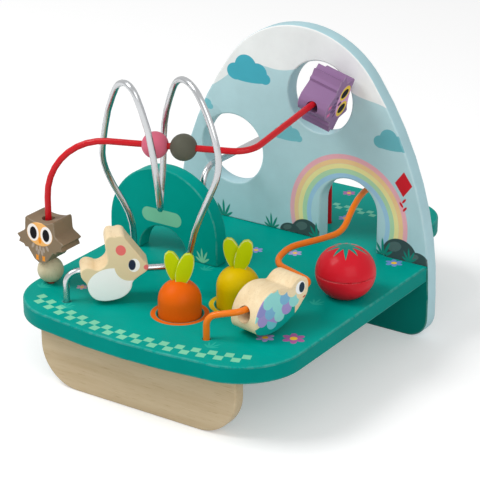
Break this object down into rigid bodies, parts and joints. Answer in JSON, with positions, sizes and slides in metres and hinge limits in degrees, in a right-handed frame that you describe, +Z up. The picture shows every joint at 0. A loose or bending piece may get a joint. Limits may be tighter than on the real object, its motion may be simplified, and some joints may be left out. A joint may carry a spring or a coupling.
{
  "type": "bead maze",
  "caption": "Bead maze toy: deck on a foot and an arched back panel, bent wires carrying beads and animals, pull-out vegetables, a tunnel and a turning tomato.",
  "frame": {"origin": "middle of the back panel's bottom edge, on the floor", "axes": "+Z up, front of the toy towards -Y, +X to the right seen from the front"},
  "size_m": [0.2772, 0.401, 0.264],
  "materials": {
    "deck": "satin painted board, printed",
    "back_panel": "satin painted board, printed",
    "front_foot": "clear-coated natural board",
    "tunnel_arch": "satin painted board, printed",
    "red_wire": "gloss coating on steel wire",
    "loop_wire": "bright plated steel wire",
    "back_wire": "bright plated steel wire",
    "orange_wire": "gloss coating on steel wire",
    "cream_bead": "clear-coated wood",
    "brown_owl": "satin paint on wood",
    "pink_bead": "satin paint on wood",
    "grey_bead": "satin paint on wood",
    "purple_owl": "satin paint on wood",
    "bunny": "natural wood with painted faces",
    "bird": "natural wood with painted faces",
    "carrot_body": "satin paint on wood",
    "carrot_leaves": "satin paint on wood",
    "turnip_body": "satin paint on wood",
    "turnip_leaves": "satin paint on wood",
    "tomato_base": "gloss paint on wood",
    "tomato_axle": "bare dowel",
    "tomato_top": "gloss paint on wood"
  },
  "bodies": {
    "frame": {"deck": "deck", "back_panel": "back_panel", "front_foot": "front_foot", "tunnel_arch": "tunnel_arch", "red_wire": "red_wire", "loop_wire": "loop_wire", "back_wire": "back_wire", "orange_wire": "orange_wire", "tomato_base": "tomato_base", "tomato_axle": "tomato_axle"},
    "cream_bead": {"cream_bead": "cream_bead"},
    "brown_owl": {"brown_owl": "brown_owl"},
    "pink_bead": {"pink_bead": "pink_bead"},
    "grey_bead": {"grey_bead": "grey_bead"},
    "purple_owl": {"purple_owl": "purple_owl"},
    "bunny": {"bunny": "bunny"},
    "bird": {"bird": "bird"},
    "carrot": {"carrot_body": "carrot_body", "carrot_leaves": "carrot_leaves"},
    "turnip": {"turnip_body": "turnip_body", "turnip_leaves": "turnip_leaves"},
    "tomato_top": {"tomato_top": "tomato_top"}
  },
  "joints": [
    {"name": "brown_owl_slide", "type": "slide", "parent": "frame", "child": "brown_owl", "axis": [0, 0, 1], "range_m": [0, 0.03]},
    {"name": "cream_bead_slide", "type": "slide", "parent": "frame", "child": "cream_bead", "axis": [0, 0, 1], "range_m": [0, 0.03]},
    {"name": "pink_bead_slide", "type": "slide", "parent": "frame", "child": "pink_bead", "axis": [0.9381, 0.3465, 0], "range_m": [-0.028, 0]},
    {"name": "grey_bead_slide", "type": "slide", "parent": "frame", "child": "grey_bead", "axis": [0.9381, 0.3465, 0], "range_m": [0, 0.028]},
    {"name": "purple_owl_slide", "type": "slide", "parent": "frame", "child": "purple_owl", "axis": [0.0269, -0.9919, -0.1243], "range_m": [0, 0.056]},
    {"name": "bunny_slide", "type": "slide", "parent": "frame", "child": "bunny", "axis": [0.7556, 0.6551, 0], "range_m": [0, 0.0115]},
    {"name": "bird_slide", "type": "slide", "parent": "frame", "child": "bird", "axis": [0.2082, 0.9781, 0], "range_m": [0, 0.012]},
    {"name": "carrot_lift", "type": "slide", "parent": "frame", "child": "carrot", "axis": [0, 0, 1], "range_m": [0, 0.04]},
    {"name": "turnip_lift", "type": "slide", "parent": "frame", "child": "turnip", "axis": [0, 0, 1], "range_m": [0, 0.04]},
    {"name": "tomato_turn", "type": "hinge", "parent": "frame", "child": "tomato_top", "pos_m": [0.104, -0.0995, 0.0915], "axis": [0, 0, 1], "continuous": true}
  ],
  "couplings": [
    {"joint": "cream_bead_slide", "follows": "brown_owl_slide", "ratio": 1}
  ]
}
